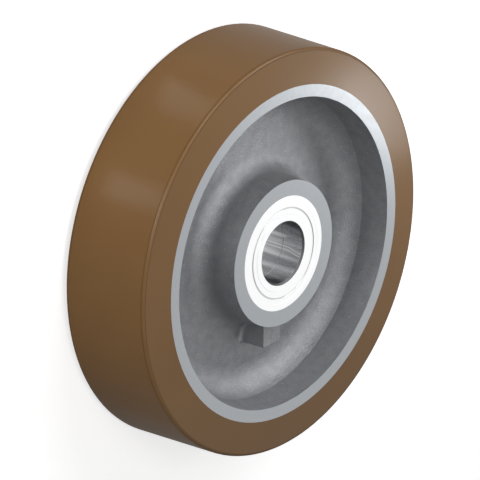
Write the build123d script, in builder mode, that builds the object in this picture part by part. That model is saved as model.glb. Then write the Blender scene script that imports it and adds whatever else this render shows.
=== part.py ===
# Heavy-duty wheel: cast-iron centre, bonded polyurethane tread, two ball bearings on a
# spacer tube. Millimetres. The wheel lies on its back face: +Z is the spin axis and points
# to the front face, and the origin is the wheel's centre. The cast boss points to -Y.
import os
from math import radians, tan

from build123d import *

os.makedirs("parts", exist_ok=True)

# Wheel and tread
wheel_diameter = 300
wheel_width = 80
tread_thickness = 26
tread_side_drop = 4.1  # how far the conical side face falls back towards the running edge
tread_edge_radius = 2.4

# Rim of the cast centre
rim_ring_width = 9  # the machined ring that shows beside the tread
rim_wall_draft = 7.5
rim_wall_depth = 21
rim_edge_break = 0.4

# Hub of the cast centre
hub_diameter = 108
hub_wall_draft = 3
hub_edge_break = 0.4
shoulder_height = 4  # step from the bearing seat down to the bore behind it

# Web of the cast centre: on each face a shallow cone from the hub to a waist, then a sweep to the rim
web_root_thickness = 19.2  # where the cone would meet the hub's wall
web_waist_thickness = 12.4
web_waist_radius = 92
web_hub_fillet = 14
web_rim_fillet = 4

# Cast boss under the hub, on the front side only
boss_angle = -62.2
boss_width = 18
boss_reach = 73  # from the wheel's axis to the boss's outer end
boss_set_back = 10.6  # from the hub's front face
boss_edge_radius = 1
boss_root_fillet = 3

# Ball bearings
bearing_bore = 45
bearing_diameter = 85
bearing_width = 19
ball_count = 9
ball_diameter = 12.7
race_conformity = 0.52  # groove radius as a share of the ball's diameter
ball_clearance = 0.02
inner_groove_depth = 2.67  # from the inner ring's land to the floor of its ball groove
outer_groove_depth = 2.77
outer_chamfer = 1
bore_chamfer = 1.4
joint_chamfer = 0.4  # on the inner ring's corner beside the spacer tube

# Pressed steel shields
shield_seat_step = 1.5  # how far the seat is cut back from the outer ring's land
shield_sheet = 0.8
shield_bead_width = 1.3
shield_bead_height = 1.5
shield_recess = 0.1
shield_gap = 0.06
shield_groove_inset = 4.1  # from the shield's outer edge to the middle of its groove
shield_groove_width = 1.2
shield_groove_depth = 0.4

# Riveted ribbon cages
cage_sheet = 1
cage_land_clearance = 1  # between a cage and the outer ring's land
pocket_clearance = 0.15
rivet_diameter = 1.8
rivet_head_diameter = 3.2
rivet_head_height = 0.6

# Spacer tube between the inner rings
spacer_land_step = 0.8  # how far the tube's outside stays below the inner ring's land

# Radii and heights that follow from the sizes above
wheel_radius = wheel_diameter / 2
half_width = wheel_width / 2
rim_outer_radius = wheel_radius - tread_thickness
rim_inner_radius = rim_outer_radius - rim_ring_width
rim_base_radius = rim_inner_radius - rim_wall_depth * tan(radians(rim_wall_draft))
hub_radius = hub_diameter / 2
web_root_half = web_root_thickness / 2
web_waist_half = web_waist_thickness / 2
hub_base_radius = hub_radius + (half_width - web_root_half) * tan(radians(hub_wall_draft))
bearing_radius = bearing_diameter / 2
bore_radius = bearing_bore / 2
spacer_half_length = half_width - bearing_width
ball_radius = ball_diameter / 2
pitch_radius = (bore_radius + bearing_radius) / 2
race_radius = race_conformity * ball_diameter
inner_groove_floor = pitch_radius - ball_radius - ball_clearance
outer_groove_floor = pitch_radius + ball_radius + ball_clearance
inner_land_radius = inner_groove_floor + inner_groove_depth
outer_land_radius = outer_groove_floor - outer_groove_depth
shield_seat_radius = outer_land_radius + shield_seat_step
pocket_radius = ball_radius + pocket_clearance
sides = {"front": 1, "back": -1}


def bearing_centre(side):
    """Height of one bearing's middle above the wheel's mid-plane."""
    return sides[side] * (half_width - bearing_width / 2)


def bearing_section(side, faces=1):
    """Drawing plane through the axis at one bearing's middle: x is the radius, y points outwards."""
    outwards = sides[side] * faces
    return Plane(origin=(0, 0, bearing_centre(side)), x_dir=(1, 0, 0), z_dir=(0, -outwards, 0))


# Tread: a polyurethane tyre cast onto the rim, with side faces that fall away as cones
def make_tread():
    running_half_width = half_width - tread_side_drop
    with BuildPart() as tread:
        with BuildSketch(Plane.XZ) as section:
            with BuildLine():
                Polyline(
                    (rim_outer_radius, -half_width),
                    (rim_outer_radius, half_width),
                    (wheel_radius, running_half_width),
                    (wheel_radius, -running_half_width),
                    close=True,
                )
            make_face()
            fillet(section.vertices().group_by(Axis.X)[-1], tread_edge_radius)
        revolve(axis=Axis.Z)
    tread.part.label = "tread"
    export_step(tread.part, "parts/tread.step")


# Boss: the pad cast under the hub, drawn from inside the hub's wall out to its own end
def boss_pad():
    outward = Plane.XY.rotated((0, 0, boss_angle))
    root = bearing_radius + boss_root_fillet
    with BuildPart() as pad:
        with BuildSketch(outward):
            with Locations((root, 0)):
                Rectangle(boss_reach - root, boss_width, align=(Align.MIN, Align.CENTER))
        extrude(amount=half_width - boss_set_back)
        outer_end = pad.faces().sort_by(outward.location.x_axis)[-1]
        fillet(outer_end.edges().sort_by(Axis.Z)[1:], boss_edge_radius)
    return pad.part


# Wheel centre: rim, web, hub and boss in one casting, with the seats bored for the bearings
def make_wheel_centre():
    boss = boss_pad()
    shoulder_radius = bearing_radius - shoulder_height
    web_waist = (web_waist_radius, web_waist_half)
    web_fall = (web_waist_radius - hub_base_radius, web_waist_half - web_root_half)
    rim_base = (rim_base_radius, half_width - rim_wall_depth)
    with BuildPart() as wheel_centre:
        with BuildSketch(Plane.XZ) as section:
            with BuildLine():
                Polyline(
                    (shoulder_radius, 0),
                    (shoulder_radius, spacer_half_length),
                    (bearing_radius, spacer_half_length),
                    (bearing_radius, half_width),
                    (hub_radius, half_width),
                    (hub_base_radius, web_root_half),
                    web_waist,
                )
                TangentArc(web_waist, rim_base, tangent=web_fall)
                Polyline(
                    rim_base,
                    (rim_inner_radius, half_width),
                    (rim_outer_radius, half_width),
                    (rim_outer_radius, 0),
                )
                mirror(about=Plane.XZ)
            make_face()
            corners = section.vertices()
            fillet([c for c in corners if abs(c.X - hub_base_radius) < 0.01], web_hub_fillet)
            fillet([c for c in corners if abs(c.X - rim_base_radius) < 0.01], web_rim_fillet)
            chamfer([c for c in corners if abs(c.X - hub_radius) < 0.01], hub_edge_break)
            chamfer([c for c in corners if abs(c.X - rim_inner_radius) < 0.01], rim_edge_break)
        revolve(axis=Axis.Z)
        add(boss)
        fillet(wheel_centre.edges(Select.NEW), boss_root_fillet)
    wheel_centre.part.label = "wheel_centre"
    export_step(wheel_centre.part, "parts/wheel_centre.step")


# Spacer tube: keeps the two inner rings apart when the axle is tightened
def make_spacer_tube():
    with BuildPart() as spacer_tube:
        with BuildSketch(Plane.XY.offset(-spacer_half_length)):
            Circle(inner_land_radius - spacer_land_step)
            Circle(bore_radius, mode=Mode.SUBTRACT)
        extrude(amount=2 * spacer_half_length)
    spacer_tube.part.label = "spacer_tube"
    export_step(spacer_tube.part, "parts/spacer_tube.step")


# Outer ring: pressed into the hub, with a ball groove and a step for a shield at each face
def make_outer_ring(side):
    node = f"{side}_bearing_outer_ring"
    half = bearing_width / 2
    step_floor = half - shield_recess - shield_bead_height
    with BuildPart() as outer_ring:
        with BuildSketch(bearing_section(side)) as section:
            with BuildLine():
                Polyline(
                    (outer_land_radius, 0),
                    (outer_land_radius, step_floor),
                    (shield_seat_radius, step_floor),
                    (shield_seat_radius, half),
                    (bearing_radius, half),
                    (bearing_radius, 0),
                )
                mirror(about=Plane.XZ)
            make_face()
            chamfer(section.vertices().group_by(Axis.X)[-1].sort_by(Axis.Y)[0::2], outer_chamfer)
            with Locations((outer_groove_floor - race_radius, 0)):
                Circle(race_radius, mode=Mode.SUBTRACT)
        revolve(axis=Axis.Z)
    outer_ring.part.label = node
    export_step(outer_ring.part, f"parts/{node}.step")


# Inner ring: sits on the axle, with a ball groove between two ground lands
def make_inner_ring(side):
    node = f"{side}_bearing_inner_ring"
    with BuildPart() as inner_ring:
        with BuildSketch(bearing_section(side)) as section:
            with Locations((bore_radius, 0)):
                Rectangle(inner_land_radius - bore_radius, bearing_width, align=(Align.MIN, Align.CENTER))
            bore_corners = section.vertices().group_by(Axis.X)[0].sort_by(Axis.Y)
            chamfer(bore_corners[0], joint_chamfer)
            chamfer(bore_corners[-1], bore_chamfer)
            with Locations((inner_groove_floor + race_radius, 0)):
                Circle(race_radius, mode=Mode.SUBTRACT)
        revolve(axis=Axis.Z)
    inner_ring.part.label = node
    export_step(inner_ring.part, f"parts/{node}.step")


# Shield: a pressed steel disc with a curled rim in the outer ring and a pressed groove
def make_shield(side, place):
    node = f"{side}_bearing_{place}_shield"
    faces = 1 if place == "outer" else -1
    top = bearing_width / 2 - shield_recess
    bore = inner_land_radius + shield_gap
    bead_inner = shield_seat_radius - shield_bead_width
    groove = shield_seat_radius - shield_groove_inset
    with BuildPart() as shield:
        with BuildSketch(bearing_section(side, faces)):
            with BuildLine():
                Polyline(
                    (bore, top - shield_sheet),
                    (bore, top),
                    (shield_seat_radius, top),
                    (shield_seat_radius, top - shield_bead_height),
                    (bead_inner, top - shield_bead_height),
                    (bead_inner, top - shield_sheet),
                    close=True,
                )
            make_face()
            with Locations((groove, top)):
                Rectangle(shield_groove_width, 2 * shield_groove_depth, mode=Mode.SUBTRACT)
        revolve(axis=Axis.Z)
    shield.part.label = node
    export_step(shield.part, f"parts/{node}.step")


# Cage half: a ribbon of sheet steel pressed into a half pocket around every ball
def make_cage_half(side, place):
    node = f"{side}_bearing_cage_{place}_half"
    outwards = sides[side] * (1 if place == "outer" else -1)
    ribbon = Plane.XY.offset(bearing_centre(side))
    cage_outer = outer_land_radius - cage_land_clearance
    cage_inner = 2 * pitch_radius - cage_outer
    with BuildPart() as cage_half:
        with BuildSketch(ribbon):
            Circle(cage_outer)
            Circle(cage_inner, mode=Mode.SUBTRACT)
        extrude(amount=outwards * cage_sheet)
        with Locations((0, 0, bearing_centre(side))):
            with PolarLocations(pitch_radius, ball_count):
                Sphere(pocket_radius + cage_sheet)
        with BuildSketch(ribbon):
            Circle(cage_outer)
            Circle(cage_inner, mode=Mode.SUBTRACT)
        extrude(amount=outwards * bearing_width, mode=Mode.INTERSECT)
        with Locations((0, 0, bearing_centre(side))):
            with PolarLocations(pitch_radius, ball_count):
                Sphere(pocket_radius, mode=Mode.SUBTRACT)
            with PolarLocations(pitch_radius, ball_count, start_angle=180 / ball_count):
                Cylinder(rivet_diameter / 2, 4 * cage_sheet, mode=Mode.SUBTRACT)
    cage_half.part.label = node
    export_step(cage_half.part, f"parts/{node}.step")


# Rivets: one between each two pockets, headed on both sides of the two cage halves
def make_cage_rivets(side):
    node = f"{side}_bearing_cage_rivets"
    with BuildPart() as cage_rivets:
        with Locations((0, 0, bearing_centre(side))):
            with PolarLocations(pitch_radius, ball_count, start_angle=180 / ball_count):
                Cylinder(rivet_diameter / 2, 2 * cage_sheet)
            for end in (1, -1):
                with Locations((0, 0, end * (cage_sheet + rivet_head_height / 2))):
                    with PolarLocations(pitch_radius, ball_count, start_angle=180 / ball_count):
                        Cylinder(rivet_head_diameter / 2, rivet_head_height)
    cage_rivets.part.label = node
    export_step(cage_rivets.part, f"parts/{node}.step")


# Balls: one node each, on the pitch circle
def make_balls(side):
    with Locations((0, 0, bearing_centre(side))):
        places = PolarLocations(pitch_radius, ball_count).locations
    for number, place in enumerate(places, start=1):
        node = f"{side}_bearing_ball_{number}"
        with BuildPart() as ball:
            with Locations(place):
                Sphere(ball_radius)
        ball.part.label = node
        export_step(ball.part, f"parts/{node}.step")


make_tread()
make_wheel_centre()
make_spacer_tube()
for side in sides:
    make_outer_ring(side)
    make_inner_ring(side)
    make_cage_rivets(side)
    make_balls(side)
    for place in ("outer", "inner"):
        make_shield(side, place)
        make_cage_half(side, place)
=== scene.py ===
from math import atan2, pi

import bpy
from mathutils import Matrix, Vector


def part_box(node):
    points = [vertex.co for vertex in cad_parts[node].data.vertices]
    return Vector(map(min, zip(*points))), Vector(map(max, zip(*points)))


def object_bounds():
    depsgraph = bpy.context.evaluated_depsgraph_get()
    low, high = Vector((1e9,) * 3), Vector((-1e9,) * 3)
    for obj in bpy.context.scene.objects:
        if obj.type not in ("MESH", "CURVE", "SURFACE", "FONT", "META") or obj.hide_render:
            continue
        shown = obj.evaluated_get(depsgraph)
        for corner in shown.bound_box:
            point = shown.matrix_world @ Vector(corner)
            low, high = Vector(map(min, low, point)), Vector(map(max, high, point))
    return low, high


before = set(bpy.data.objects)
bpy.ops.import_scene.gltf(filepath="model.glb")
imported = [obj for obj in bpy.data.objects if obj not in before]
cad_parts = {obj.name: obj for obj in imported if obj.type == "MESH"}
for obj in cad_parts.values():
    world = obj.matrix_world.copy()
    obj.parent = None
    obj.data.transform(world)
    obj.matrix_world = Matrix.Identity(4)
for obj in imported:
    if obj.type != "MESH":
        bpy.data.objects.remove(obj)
cad_low, cad_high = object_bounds()
bpy.ops.object.select_all(action="DESELECT")


# Wheel centre
# One iron casting: rim, web, hub and a boss under the hub. It is sand cast and sprayed pale grey,
# then turned bright on the ring beside the tread, on the hub's end faces and in the bearing seats.
MM = 0.001
half_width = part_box("wheel_centre")[1].z
seat_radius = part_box("front_bearing_outer_ring")[1].x
PAINT_DARK = (0.232, 0.239, 0.252, 1)
PAINT_PALE = (0.325, 0.332, 0.345, 1)
PAINTED_GLINT = (0.40, 0.407, 0.42, 1)
PAINT_TONE_RANGE = (0.5, 1.5)
PAINT_METALLIC = 0.5
PAINT_ROUGHNESS = (0.50, 0.38)
GLINT_SIZE = 1.5 * MM
GLINT_RANGE = (0.67, 0.77)
GRAIN_SIZE = 0.9 * MM
GRAIN_DEPTH = 0.48 * MM
LUMP_SIZE = 7 * MM
LUMP_DEPTH = 0.15 * MM
TURNED_IRON = (0.378, 0.396, 0.414, 1)
TURNED_ROUGHNESS = (0.38, 0.46)
TURNED_CLOUD_SIZE = 4 * MM
TURNED_MARGIN = 0.45 * MM
TOOL_FEED = 0.35 * MM
TOOL_MARK_DEPTH = 0.002 * MM
NOISE_RANGE = (0.3, 0.7)


def new_finish(name):
    """A new material, with its node tree and its Principled shader."""
    material = bpy.data.materials.new(name)
    material.use_nodes = True
    return material, material.node_tree, material.node_tree.nodes["Principled BSDF"]


def fill(tree, node, sockets):
    """Fill a node's sockets, each from a number or from another node's output."""
    for key, source in sockets.items():
        if isinstance(source, bpy.types.NodeSocket):
            tree.links.new(source, node.inputs[key])
        else:
            node.inputs[key].default_value = source


def add_node(tree, kind, sockets, output=0, **settings):
    """Add a shader node, fill its sockets, and give one of its outputs."""
    node = tree.nodes.new("ShaderNode" + kind)
    for setting, value in settings.items():
        setattr(node, setting, value)
    fill(tree, node, sockets)
    return node.outputs[output]


def maths(tree, operation, first, second=0.0):
    """One arithmetic step between two node outputs or numbers."""
    return add_node(tree, "Math", {0: first, 1: second}, operation=operation)


def spread(tree, value, low, high, to_low, to_high):
    """Map a range of one node output on to another range, and stop at its ends."""
    sockets = {
        "Value": value,
        "From Min": low,
        "From Max": high,
        "To Min": to_low,
        "To Max": to_high,
    }
    return add_node(tree, "MapRange", sockets, interpolation_type="SMOOTHSTEP")


def vary(tree, noise, first, second):
    """Let a value follow a noise from one number to another, over most of the noise's range."""
    return spread(tree, noise, *NOISE_RANGE, first, second)


def blend_colours(tree, factor, first, second):
    """A colour between two others."""
    return add_node(tree, "MixRGB", {"Fac": factor, "Color1": first, "Color2": second})


def blend_values(tree, factor, first, second):
    """A number between two others."""
    return add_node(tree, "Mix", {"Factor": factor, "A": first, "B": second})


def speckle(tree, place, size, detail=2.0, roughness=0.5):
    """Noise whose lumps are about the given size across."""
    sockets = {"Vector": place, "Scale": 1 / size, "Detail": detail, "Roughness": roughness}
    return add_node(tree, "TexNoise", sockets)


def relief(tree, height, depth, under=None):
    """Bumps of the given depth, laid over other bumps if there are any."""
    sockets = {"Height": height, "Distance": depth, "Strength": 1.0}
    if under is not None:
        sockets["Normal"] = under
    return add_node(tree, "Bump", sockets)


def piece_place(tree):
    """Position on a piece, which is also its position on the wheel."""
    return add_node(tree, "TexCoord", {}, output="Object")


def along(tree, place, axis):
    """How far a position or direction reaches along one axis."""
    return add_node(tree, "SeparateXYZ", {0: place}, output=axis)


def off_axle(tree, place):
    """Distance of a position from the axle's centre line."""
    flat = add_node(tree, "VectorMath", {0: place, 1: (1, 1, 0)}, operation="MULTIPLY")
    return add_node(tree, "VectorMath", {0: flat}, output="Value", operation="LENGTH")


def tool_marks(tree, run, feed):
    """The fine ridges that a cutting tool leaves, one for each turn of the work."""
    wave = maths(tree, "SINE", maths(tree, "MULTIPLY", run, 2 * pi / feed))
    return maths(tree, "MULTIPLY", wave, 0.5)


def give_finish(word, material):
    """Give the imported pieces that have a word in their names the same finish."""
    for name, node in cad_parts.items():
        if word in name:
            node.data.materials.clear()
            node.data.materials.append(material)


cast_iron, tree, shader = new_finish("cast_iron")
place = piece_place(tree)
radius = off_axle(tree, place)
off_middle = maths(tree, "ABSOLUTE", along(tree, place, "Z"))
outer_face = maths(tree, "GREATER_THAN", off_middle, half_width - TURNED_MARGIN)
bored = maths(tree, "LESS_THAN", radius, seat_radius + TURNED_MARGIN)
turned = maths(tree, "MAXIMUM", outer_face, bored)
as_cast = maths(tree, "SUBTRACT", 1.0, turned)
sand_grain = speckle(tree, place, GRAIN_SIZE, detail=3, roughness=0.6)
sand_lumps = speckle(tree, place, LUMP_SIZE)
tone = spread(tree, maths(tree, "ADD", sand_grain, sand_lumps), *PAINT_TONE_RANGE, 0, 1)
paint = blend_colours(tree, tone, PAINT_DARK, PAINT_PALE)
# Sparse bright specks in the paint's colour are painted glints, standing in for the sparkle of
# light on the sand grain.
painted_glints = spread(tree, speckle(tree, place, GLINT_SIZE, detail=1), *GLINT_RANGE, 0, 1)
paint = blend_colours(tree, painted_glints, paint, PAINTED_GLINT)
cast_gloss = vary(tree, sand_grain, *PAINT_ROUGHNESS)
turned_gloss = vary(tree, speckle(tree, place, TURNED_CLOUD_SIZE), *TURNED_ROUGHNESS)
bumps = relief(tree, maths(tree, "MULTIPLY", sand_lumps, as_cast), LUMP_DEPTH)
bumps = relief(tree, maths(tree, "MULTIPLY", sand_grain, as_cast), GRAIN_DEPTH, bumps)
marks = maths(tree, "MULTIPLY", tool_marks(tree, radius, TOOL_FEED), turned)
iron_sockets = {
    "Base Color": blend_colours(tree, turned, paint, TURNED_IRON),
    "Metallic": maths(tree, "MAXIMUM", turned, PAINT_METALLIC),
    "Roughness": blend_values(tree, turned, cast_gloss, turned_gloss),
    "Normal": relief(tree, marks, TOOL_MARK_DEPTH, bumps),
}
fill(tree, shader, iron_sockets)
give_finish("wheel_centre", cast_iron)


# Tread
# A polyurethane tyre cast straight on to the rim and bonded to it. Its running face is turned
# true afterwards, and its side faces keep the satin skin of the mould.
running_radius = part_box("tread")[1].x
PU_BROWN = (0.228, 0.118, 0.039, 1)
PU_DEEP = (0.212, 0.108, 0.035, 1)
PU_EDGE_SHADE = (0.120, 0.058, 0.016, 1)
PU_CLOUD_SIZE = 60 * MM
PU_CLOUD_RANGE = (0.2, 0.8)
PU_ROUGHNESS = (0.28, 0.30)
PU_SPECULAR = 0.3
SKIN_SIZE = 1.5 * MM
SKIN_DEPTH = 0.012 * MM
RUNNING_MARGIN = 0.3 * MM
RUNNING_FEED = 0.8 * MM
RUNNING_MARK_DEPTH = 0.006 * MM
SIDE_SHADE_RADIUS = running_radius - 2.0 * MM
RUNNING_SHADE_HEIGHT = 33.8 * MM
SHADE_LINE_WIDTH = 0.6 * MM


def stripe(tree, value, middle, core, reach, strength=1.0):
    """Full strength in a stripe's core, falling to nothing at its reach on both sides."""
    away = maths(tree, "ABSOLUTE", maths(tree, "SUBTRACT", value, middle))
    return spread(tree, away, core, reach, strength, 0)


polyurethane, tree, shader = new_finish("polyurethane_tread")
place = piece_place(tree)
radius = off_axle(tree, place)
height = along(tree, place, "Z")
off_middle = maths(tree, "ABSOLUTE", height)
running = maths(tree, "GREATER_THAN", radius, running_radius - RUNNING_MARGIN)
clouds = speckle(tree, place, PU_CLOUD_SIZE, detail=1)
brown = blend_colours(tree, spread(tree, clouds, *PU_CLOUD_RANGE, 0, 1), PU_BROWN, PU_DEEP)
# The thin dark lines at both ends of the shoulder's rounding, on the side face and on the running
# face, are painted shade.
side_shade_line = stripe(tree, radius, SIDE_SHADE_RADIUS, 0, SHADE_LINE_WIDTH)
on_edge = maths(tree, "GREATER_THAN", off_middle, RUNNING_SHADE_HEIGHT)
side_shade_line = maths(tree, "MULTIPLY", side_shade_line, on_edge)
running_shade_line = stripe(tree, off_middle, RUNNING_SHADE_HEIGHT, 0, SHADE_LINE_WIDTH)
running_shade_line = maths(tree, "MULTIPLY", running_shade_line, running)
painted_edge_shade = maths(tree, "MAXIMUM", side_shade_line, running_shade_line)
skin = relief(tree, speckle(tree, place, SKIN_SIZE), SKIN_DEPTH)
marks = maths(tree, "MULTIPLY", tool_marks(tree, height, RUNNING_FEED), running)
tread_sockets = {
    "Base Color": blend_colours(tree, painted_edge_shade, brown, PU_EDGE_SHADE),
    "Roughness": spread(tree, clouds, *PU_CLOUD_RANGE, *PU_ROUGHNESS),
    "Specular IOR Level": PU_SPECULAR,
    "Normal": relief(tree, marks, RUNNING_MARK_DEPTH, skin),
}
fill(tree, shader, tread_sockets)
give_finish("tread", polyurethane)


# Spacer tube
# A length of drawn steel tube between the two inner rings, with its ends turned square. Drawing
# leaves fine lines along it; the bright and dark streaks in the bore are partly these lines and
# partly painted reflection.
BORE_RADIUS = 22.5 * MM
BORE_DULL = (0.50, 0.51, 0.525, 1)
BORE_BRIGHT = (0.94, 0.945, 0.95, 1)
BORE_ROUGHNESS = (0.28, 0.18)
STREAK_SIZE = 6 * MM
STREAK_SQUEEZE = 0.06
STREAK_RANGE = (0.40, 0.60)
STREAK_STRENGTH = 0.8
STREAK_DEPTH = 0.01 * MM
REFLECTION_HEADINGS = (8, 14)
REFLECTION_WIDTH = 1.3
REFLECTION_BEND = 7
REFLECTION_BEND_FROM = half_width - 16 * MM
REFLECTION_BEND_TO = half_width + 2 * MM
REFLECTION_STRENGTH = 2.4  # above 1, so that a painted reflection streak is fully bright over part of its width
REFLECTION_PATCH_HEADING = 33
REFLECTION_PATCH_WIDTH = 6
REFLECTION_PATCH_FULL = half_width - 22 * MM
REFLECTION_PATCH_END = half_width - 13 * MM


def bore_finish(tree, place, height):
    """Colour, roughness and bumps of the bore: streaks along it, with two streaks and a patch of
    painted reflection.

    Headings round the bore, and what is added to them or spread over them, are in degrees.
    """
    squeeze = (1, 1, STREAK_SQUEEZE)
    streaked = add_node(tree, "VectorMath", {0: place, 1: squeeze}, operation="MULTIPLY")
    streaks = speckle(tree, streaked, STREAK_SIZE, detail=1.5)
    turn = maths(tree, "ARCTAN2", along(tree, place, "Y"), along(tree, place, "X"))
    heading = maths(tree, "MULTIPLY", turn, 180 / pi)
    bright = spread(tree, streaks, *STREAK_RANGE, 0, STREAK_STRENGTH)
    bend = spread(tree, height, REFLECTION_BEND_FROM, REFLECTION_BEND_TO, 0, REFLECTION_BEND)
    bent_heading = maths(tree, "ADD", heading, bend)
    # Two bent bright streaks and a bright patch, all painted reflection, over the streaks along
    # the bore.
    for reflection_heading in REFLECTION_HEADINGS:
        reflection_streak = stripe(tree, bent_heading, reflection_heading, 0, REFLECTION_WIDTH, REFLECTION_STRENGTH)
        bright = maths(tree, "MAXIMUM", bright, reflection_streak)
    reflection_patch = stripe(tree, heading, REFLECTION_PATCH_HEADING, 0, REFLECTION_PATCH_WIDTH, REFLECTION_STRENGTH)
    inside = spread(tree, height, REFLECTION_PATCH_FULL, REFLECTION_PATCH_END, 1, 0)
    bright = maths(tree, "MAXIMUM", bright, maths(tree, "MULTIPLY", reflection_patch, inside))
    colour = blend_colours(tree, bright, BORE_DULL, BORE_BRIGHT)
    return colour, vary(tree, streaks, *BORE_ROUGHNESS), relief(tree, streaks, STREAK_DEPTH)


turned_steel, tree, shader = new_finish("turned_steel")
place = piece_place(tree)
bore_colour, bore_roughness, bore_bumps = bore_finish(tree, place, along(tree, place, "Z"))
tube_sockets = {
    "Base Color": bore_colour,
    "Metallic": 1.0,
    "Roughness": bore_roughness,
    "Normal": bore_bumps,
}
fill(tree, shader, tube_sockets)
give_finish("spacer_tube", turned_steel)


# Bearing rings
# Through-hardened bearing steel, ground on every face. The outer rings are pressed into the
# hub's seats. The inner rings slide over the axle, and their bores are streaked like the tube's.
RING_STEEL = (0.965, 0.97, 0.975, 1)
RING_ROUGHNESS = (0.28, 0.33)
RING_CLOUD_SIZE = 3 * MM
GRINDING_FEED = 0.12 * MM
GRINDING_DEPTH = 0.0004 * MM
BORE_CHAMFER = 1.4 * MM
BORE_MARGIN = 0.02 * MM
WALL_MARGIN = 0.004 * MM
CHAMFER_SHADE = (0.095, 0.097, 0.10, 1)
JOINT_PAINTED_LIGHT = (0.72, 0.725, 0.735, 1)
CHAMFER_ROUGHNESS = 0.5

bearing_steel, tree, shader = new_finish("bearing_steel")
place = piece_place(tree)
radius = off_axle(tree, place)
height = along(tree, place, "Z")
off_middle = maths(tree, "ABSOLUTE", height)
in_bore = maths(tree, "LESS_THAN", radius, BORE_RADIUS + BORE_CHAMFER - BORE_MARGIN)
off_wall = maths(tree, "GREATER_THAN", radius, BORE_RADIUS + WALL_MARGIN)
on_chamfer = maths(tree, "MULTIPLY", in_bore, off_wall)
# The chamfers at the bore's two mouths are painted near black: painted shade.
at_mouth = maths(tree, "GREATER_THAN", off_middle, half_width - 2 * BORE_CHAMFER)
painted_mouth_shade = maths(tree, "MULTIPLY", on_chamfer, at_mouth)
bore_colour, bore_roughness, bore_bumps = bore_finish(tree, place, height)
# The chamfers where the inner rings meet the tube are painted paler than the bore: painted light
# that lifts the shade in the joint's groove.
bore_colour = blend_colours(tree, on_chamfer, bore_colour, JOINT_PAINTED_LIGHT)
ring_colour = blend_colours(tree, in_bore, RING_STEEL, bore_colour)
ground = vary(tree, speckle(tree, place, RING_CLOUD_SIZE), *RING_ROUGHNESS)
honed = blend_values(tree, on_chamfer, bore_roughness, CHAMFER_ROUGHNESS)
off_bore = maths(tree, "SUBTRACT", 1.0, in_bore)
marks = maths(tree, "MULTIPLY", tool_marks(tree, radius, GRINDING_FEED), off_bore)
ring_sockets = {
    "Base Color": blend_colours(tree, painted_mouth_shade, ring_colour, CHAMFER_SHADE),
    "Metallic": 1.0,
    "Roughness": blend_values(tree, in_bore, ground, honed),
    "Normal": relief(tree, marks, GRINDING_DEPTH, bore_bumps),
}
fill(tree, shader, ring_sockets)
give_finish("_ring", bearing_steel)


# Balls
# Nine steel balls in each bearing, hardened, ground and polished. They roll in the grooves of
# the two rings, hidden behind the shields.
BALL_STEEL = (0.86, 0.87, 0.88, 1)
BALL_ROUGHNESS = (0.05, 0.10)
BALL_CLOUD_SIZE = 2 * MM

ball_steel, tree, shader = new_finish("ball_steel")
ball_clouds = speckle(tree, piece_place(tree), BALL_CLOUD_SIZE)
ball_sockets = {
    "Base Color": BALL_STEEL,
    "Metallic": 1.0,
    "Roughness": vary(tree, ball_clouds, *BALL_ROUGHNESS),
}
fill(tree, shader, ball_sockets)
give_finish("_ball_", ball_steel)


# Cages
# Two ribbons of rolled sheet steel to a bearing, pressed into pockets that keep the balls apart.
# Rivets of the same steel hold them together between the balls.
CAGE_DULL = (0.50, 0.50, 0.51, 1)
CAGE_PALE = (0.62, 0.62, 0.63, 1)
CAGE_ROUGHNESS = (0.30, 0.42)
ROLLED_SIZE = 1.2 * MM
ROLLED_DEPTH = 0.01 * MM

cage_steel, tree, shader = new_finish("cage_steel")
rolled = speckle(tree, piece_place(tree), ROLLED_SIZE)
cage_sockets = {
    "Base Color": blend_colours(tree, vary(tree, rolled, 0, 1), CAGE_DULL, CAGE_PALE),
    "Metallic": 1.0,
    "Roughness": vary(tree, rolled, *CAGE_ROUGHNESS),
    "Normal": relief(tree, rolled, ROLLED_DEPTH),
}
fill(tree, shader, cage_sockets)
give_finish("_cage_", cage_steel)


# Shields
# Bright pressed sheet steel, with a groove pressed round its middle that is painted darker as
# shade.
# Each is curled into the step beside the outer ring's land, and clears the inner ring by a hair.
SHEET_DULL = (0.955, 0.96, 0.965, 1)
SHEET_BRIGHT = (0.975, 0.98, 0.985, 1)
SHEET_GROOVE_SHADE = (0.585, 0.582, 0.57, 1)
SHEET_ROUGHNESS = (0.30, 0.34)
SHEET_CLOUD_SIZE = 2.5 * MM
SHEET_CLOUD_DEPTH = 0.001 * MM
GROOVE_RADIUS = 33.5 * MM
GROOVE_CORE = 0.5 * MM
GROOVE_REACH = 0.75 * MM

shield_steel, tree, shader = new_finish("shield_steel")
place = piece_place(tree)
sheet = speckle(tree, place, SHEET_CLOUD_SIZE)
bright = blend_colours(tree, vary(tree, sheet, 0, 1), SHEET_DULL, SHEET_BRIGHT)
# The groove is painted a darker, warmer grey: painted shade.
groove_shade = stripe(tree, off_axle(tree, place), GROOVE_RADIUS, GROOVE_CORE, GROOVE_REACH)
shield_sockets = {
    "Base Color": blend_colours(tree, groove_shade, bright, SHEET_GROOVE_SHADE),
    "Metallic": 1.0,
    "Roughness": vary(tree, sheet, *SHEET_ROUGHNESS),
    "Normal": relief(tree, sheet, SHEET_CLOUD_DEPTH),
}
fill(tree, shader, shield_sockets)
give_finish("_shield", shield_steel)


# Floor
# A plain pale sweep under the wheel, which lies on its back face. To the camera it is nearly
# white, the running face mirrors it as a plain grey, and it keeps the wheel's shadow.
FLOOR_SIZE = 16
FLOOR_PALE = (0.75, 0.75, 0.75, 1)
FLOOR_REFLECTED = (0.55, 0.55, 0.55, 1)
FLOOR_LIFT = 0.68
FLOOR_MIRRORED = 0.05
FLOOR_ROUGHNESS = 0.9
FLOOR_SPECULAR = 0.1
WHITE = (1, 1, 1, 1)

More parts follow.
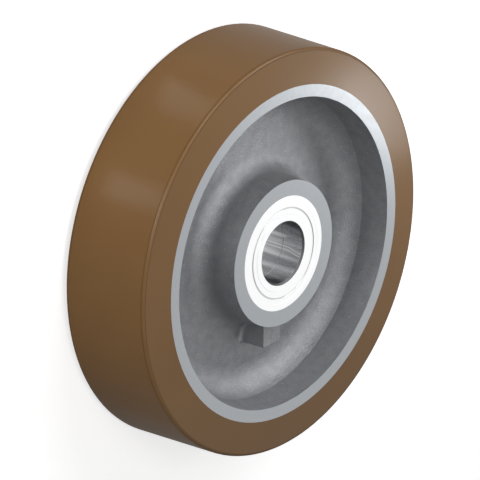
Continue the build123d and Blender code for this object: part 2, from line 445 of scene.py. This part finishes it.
bpy.ops.mesh.primitive_plane_add(size=FLOOR_SIZE, location=(0, 0, cad_low.z))
floor = bpy.context.object
floor.name = "floor"
pale_floor, tree, shader = new_finish("pale_floor")
seen = add_node(tree, "LightPath", {}, output="Is Camera Ray")
mirrored = add_node(tree, "LightPath", {}, output="Is Glossy Ray")
lift_seen = maths(tree, "MULTIPLY", seen, FLOOR_LIFT)
lift_mirrored = maths(tree, "MULTIPLY", mirrored, FLOOR_MIRRORED)
floor_sockets = {
    "Base Color": blend_colours(tree, mirrored, FLOOR_PALE, FLOOR_REFLECTED),
    "Roughness": FLOOR_ROUGHNESS,
    "Specular IOR Level": FLOOR_SPECULAR,
    "Emission Color": WHITE,
    "Emission Strength": maths(tree, "ADD", lift_seen, lift_mirrored),
}
fill(tree, shader, floor_sockets)
floor.data.materials.append(pale_floor)


# Studio light
# A pale room that bright metal mirrors as white, with soft panels above and beside the wheel.
# Two cards of light on the floor make the soft bands on the running face, and a small lamp
# brightens the floor that the bore mirrors.
ROOM_LEVEL = 0.15
ROOM_SEEN = 1.0
ROOM_MIRRORED = 1.05
HORIZON_MIRRORED = 0.08
DOME_HEIGHTS = (0.1, 0.55)
DOME_SIDES = (-0.7, 0.7)
DOME_SIDE_LEVELS = (0.6, 1.4)
PANEL_SIZE = 0.5
SMALL_PANEL_SIZE = 0.08
BORE_LAMP_SIZE = 0.04
BORE_LAMP_CLEARANCE = 0.5 * MM
CARD_CLEARANCE = 1 * MM

room = bpy.data.worlds.new("room")
bpy.context.scene.world = room
room.use_nodes = True
tree = room.node_tree
mirrored = add_node(tree, "LightPath", {}, output="Is Glossy Ray")
seen = add_node(tree, "LightPath", {}, output="Is Camera Ray")
direction = add_node(tree, "TexCoord", {}, output="Generated")
upward = along(tree, direction, "Z")
sideways = along(tree, direction, "Y")
dome = spread(tree, upward, *DOME_HEIGHTS, HORIZON_MIRRORED, ROOM_MIRRORED)
side_level = spread(tree, sideways, *DOME_SIDES, *DOME_SIDE_LEVELS)
dome = maths(tree, "MULTIPLY", dome, side_level)
level = blend_values(tree, mirrored, ROOM_LEVEL, dome)
level = blend_values(tree, seen, level, ROOM_SEEN)
fill(tree, tree.nodes["Background"], {"Color": WHITE, "Strength": level})


def soft_lamp(name, length, width, watts, stand_at):
    """A flat soft lamp. The camera doesn't see the lamp itself, only its light."""
    lamp = bpy.data.lights.new(name, "AREA")
    lamp.shape = "RECTANGLE"
    lamp.size = length
    lamp.size_y = width
    lamp.energy = watts
    stand = bpy.data.objects.new(name, lamp)
    bpy.context.scene.collection.objects.link(stand)
    stand.visible_camera = False
    stand.matrix_world = stand_at


def panel(name, place, size, watts, aim=(0, 0, 0)):
    """A square lamp that faces the wheel, or what it is aimed at."""
    facing = (Vector(place) - Vector(aim)).to_track_quat("Z", "Y").to_matrix().to_4x4()
    soft_lamp(name, size, size, watts, Matrix.Translation(place) @ facing)


def floor_card(name, start, end, width, watts):
    """A long lamp that lies on the floor, and that the running face mirrors as a soft band."""
    run = Vector(end) - Vector(start)
    middle = (Vector(start) + Vector(end)) / 2
    above_floor = Matrix.Translation((middle.x, middle.y, cad_low.z + CARD_CLEARANCE))
    face_up = Matrix.Rotation(atan2(run.y, run.x), 4, "Z") @ Matrix.Rotation(pi, 4, "X")
    soft_lamp(name, run.length, width, watts, above_floor @ face_up)


panel("left_low", (-1.27, 0, 0.27), PANEL_SIZE, watts=5.0)
panel("left_high", (-0.65, 0, 1.13), PANEL_SIZE, watts=2.5)
panel("overhead", (-0.46, 0.80, 0.92), PANEL_SIZE, watts=2.9)
panel("behind", (0.19, 1.08, 0.70), PANEL_SIZE, watts=4.0)
panel("near", (0.25, 0.15, 0.19), SMALL_PANEL_SIZE, watts=0.12)
panel("beside", (0.29, 0.15, 0.147), SMALL_PANEL_SIZE, watts=0.05)
over_floor = (0, 0, cad_low.z + BORE_LAMP_CLEARANCE)
panel("under_bore", over_floor, BORE_LAMP_SIZE, watts=0.0050, aim=(0, 0, -1))
floor_card("left_card", (-0.180, 0.014), (-0.265, 0.026), width=0.032, watts=0.014)
floor_card("upper_card", (-0.141, 0.115), (-0.168, 0.175), width=0.042, watts=0.0095)


# Camera
# A long lens, seen here as parallel rays, that looks at the front face from the left. Its
# directions and the width of its frame come from the ellipse that the front face makes.
RIGHT = Vector((0.5685, 0.3002, 0.7660))
UP = Vector((-0.1789, 0.9539, -0.2411))
BACK = Vector((-0.8030, 0.0, 0.5960))
FRAME_WIDTH = 0.3411
FRAME_LEFT = 0.03069
FRAME_UP = 0.00959
STAND_OFF = 3.2
FARTHEST_SEEN = 20

lens = bpy.data.cameras.new("camera")
lens.type = "ORTHO"
lens.ortho_scale = FRAME_WIDTH
lens.clip_end = FARTHEST_SEEN
camera = bpy.data.objects.new("camera", lens)
bpy.context.scene.collection.objects.link(camera)
target = Vector((0, 0, half_width)) - FRAME_LEFT * RIGHT + FRAME_UP * UP
turned_to_wheel = Matrix((RIGHT, UP, BACK)).transposed().to_4x4()
camera.matrix_world = Matrix.Translation(target + STAND_OFF * BACK) @ turned_to_wheel
bpy.context.scene.camera = camera
bpy.context.scene.view_settings.view_transform = "Standard"
